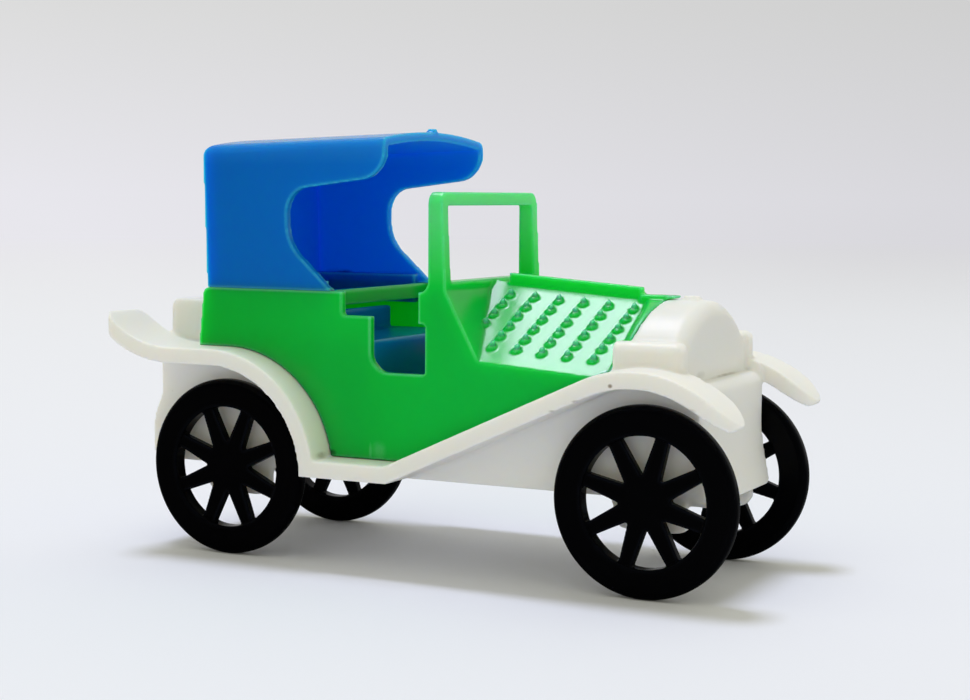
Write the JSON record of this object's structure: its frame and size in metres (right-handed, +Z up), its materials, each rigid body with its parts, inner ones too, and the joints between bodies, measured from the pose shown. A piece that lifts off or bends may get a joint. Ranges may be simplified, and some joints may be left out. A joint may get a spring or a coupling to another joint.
{
  "type": "toy car",
  "caption": "toy vintage open car with running boards, upswept fenders, gabled bonnet, windscreen frame, folding hood and spoked wheels on two rolling axles",
  "frame": {"origin": "bottom centre of the bounding box, on the ground under the wheels", "axes": "+X forward towards the bonnet, +Y to the left of the car, +Z up"},
  "size_m": [0.0912, 0.038, 0.058],
  "materials": {
    "ivory_plastic": "smooth moulded ivory plastic",
    "green_plastic": "smooth moulded green plastic, slightly translucent",
    "blue_plastic": "smooth moulded blue plastic, slightly translucent",
    "black_plastic": "gloss black moulded plastic"
  },
  "bodies": {
    "car": {"chassis": "ivory_plastic", "body": "green_plastic", "hood": "blue_plastic", "seat": "blue_plastic"},
    "front_wheelset": {"front_axle": "black_plastic", "wheel_front_left": "black_plastic", "wheel_front_right": "black_plastic"},
    "rear_wheelset": {"rear_axle": "black_plastic", "wheel_rear_left": "black_plastic", "wheel_rear_right": "black_plastic"}
  },
  "joints": [
    {"name": "front_wheels", "type": "hinge", "parent": "car", "child": "front_wheelset", "pos_m": [0.03273, 0, 0.012], "axis": [0, 1, 0], "continuous": true},
    {"name": "rear_wheels", "type": "hinge", "parent": "car", "child": "rear_wheelset", "pos_m": [-0.02827, 0, 0.012], "axis": [0, 1, 0], "continuous": true}
  ]
}
